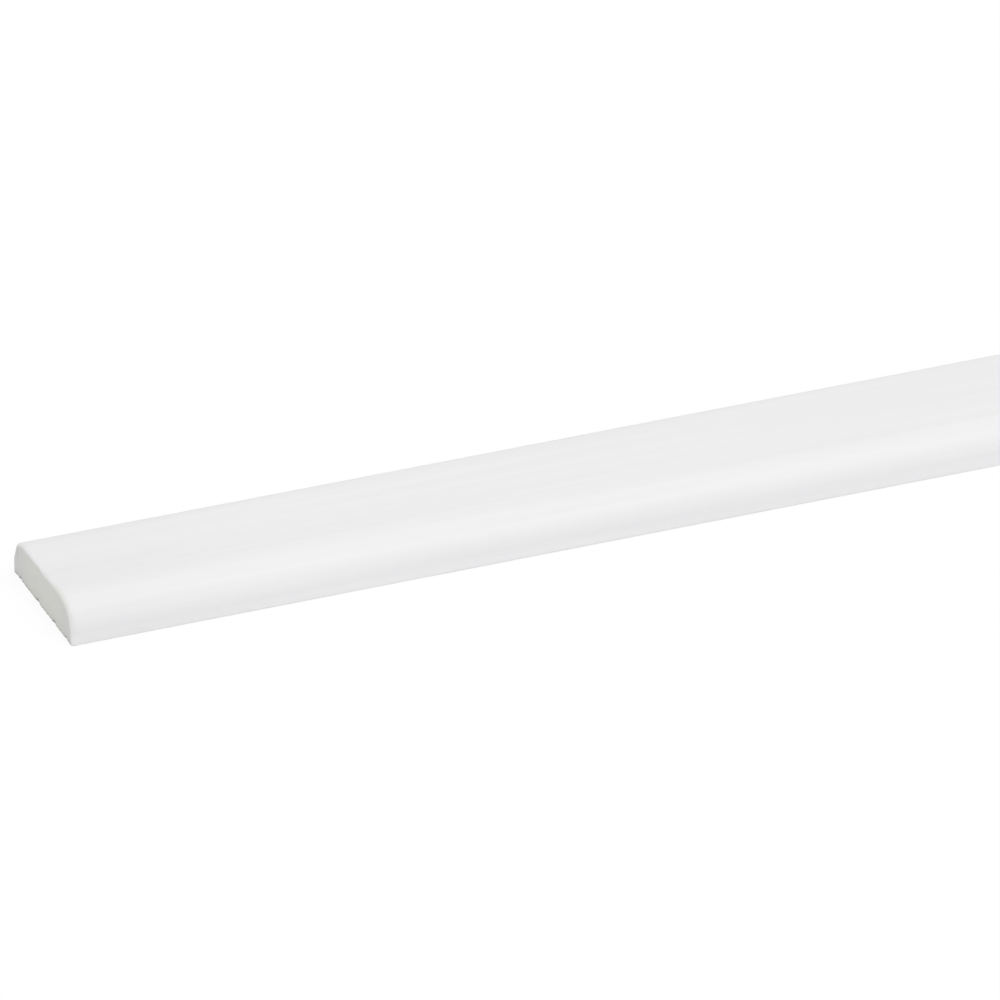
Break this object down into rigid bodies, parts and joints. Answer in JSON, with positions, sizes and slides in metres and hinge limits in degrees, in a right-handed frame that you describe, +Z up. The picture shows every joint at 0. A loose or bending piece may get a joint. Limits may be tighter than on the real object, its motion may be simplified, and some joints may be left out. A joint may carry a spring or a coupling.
{
  "type": "cover strip",
  "caption": "Flat, white-painted wooden cover strip with a flat back, both upper long edges rounded over and the ends sawn square.",
  "frame": {"origin": "in the plane of the flat back, at the middle of the strip's length and width", "axes": "+X along the strip, +Y across it, +Z up out of its face"},
  "size_m": [2.4, 0.02, 0.005],
  "materials": {
    "white_paint": "satin white paint over fine-grained softwood"
  },
  "bodies": {
    "root": {"cover_strip": "white_paint"}
  },
  "joints": []
}
